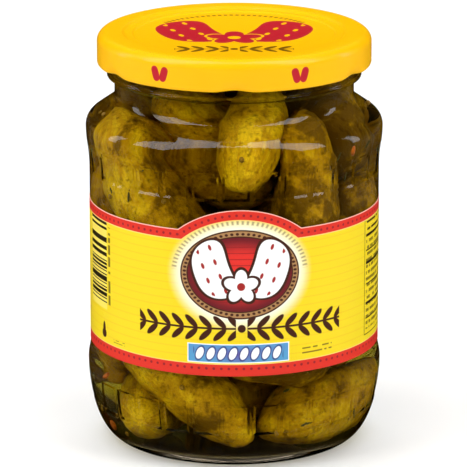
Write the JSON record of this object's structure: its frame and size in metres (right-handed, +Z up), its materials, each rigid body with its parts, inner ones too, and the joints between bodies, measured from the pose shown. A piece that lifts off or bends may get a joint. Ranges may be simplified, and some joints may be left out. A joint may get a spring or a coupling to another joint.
{
  "type": "pickle jar",
  "caption": "Round glass jar of whole gherkins in brine, with a wrap-round paper label and a lug twist cap.",
  "frame": {"origin": "centre of the jar's foot, on the surface it stands on", "axes": "+Z up along the jar's axis, -Y out of the label's front"},
  "size_m": [0.0962, 0.0962, 0.1347],
  "materials": {
    "glass": "clear pressed and blown glass",
    "brine": "clear olive-yellow brine",
    "paper_label": "printed, varnished label paper",
    "lid_enamel": "glossy yellow enamel on tinplate",
    "gherkin": "wet, bumpy pickled skin"
  },
  "bodies": {
    "root": {"jar": "glass", "brine": "brine", "label": "paper_label", "lid": "lid_enamel"}
  },
  "joints": []
}
